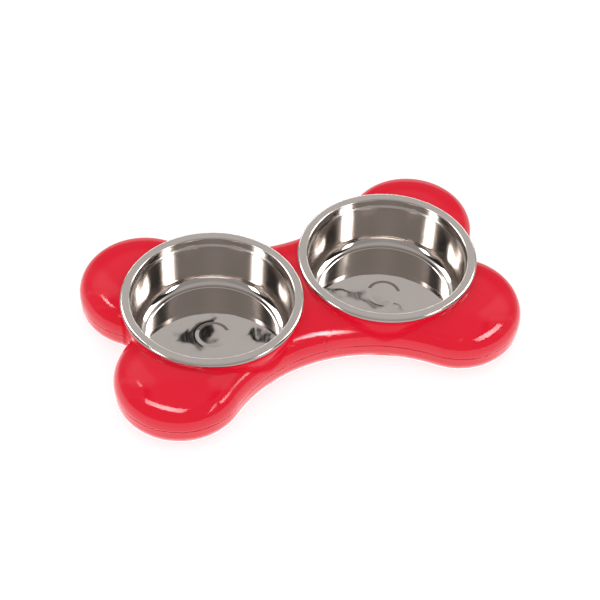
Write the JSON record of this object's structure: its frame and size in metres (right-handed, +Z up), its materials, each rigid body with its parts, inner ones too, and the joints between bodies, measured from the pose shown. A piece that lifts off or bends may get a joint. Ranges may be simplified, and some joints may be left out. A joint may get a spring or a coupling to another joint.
{
  "type": "double pet bowl",
  "caption": "Bone-shaped plastic stand with two lift-out stainless steel feeding bowls, on rubber feet.",
  "frame": {"origin": "on the floor under the middle of the stand, level with the undersides of the feet", "axes": "+X along the bone to the right-hand bowl, +Y to the rear, +Z up"},
  "size_m": [0.3482, 0.2118, 0.054],
  "materials": {
    "red_plastic": "glossy moulded",
    "stainless_steel": "polished, with fine turned marks",
    "grey_rubber": "matt",
    "screw_steel": "zinc plated"
  },
  "bodies": {
    "stand": {"top_shell": "red_plastic", "bottom_shell": "red_plastic", "shell_screws": "screw_steel", "foot_front_left": "grey_rubber", "foot_front_right": "grey_rubber", "foot_rear_left": "grey_rubber", "foot_rear_right": "grey_rubber"},
    "left_bowl": {"bowl_left": "stainless_steel"},
    "right_bowl": {"bowl_right": "stainless_steel"}
  },
  "joints": [
    {"name": "left_bowl_lift", "type": "slide", "parent": "stand", "child": "left_bowl", "axis": [0, 0, 1], "range_m": [0, 0.06]},
    {"name": "right_bowl_lift", "type": "slide", "parent": "stand", "child": "right_bowl", "axis": [0, 0, 1], "range_m": [0, 0.06]}
  ]
}
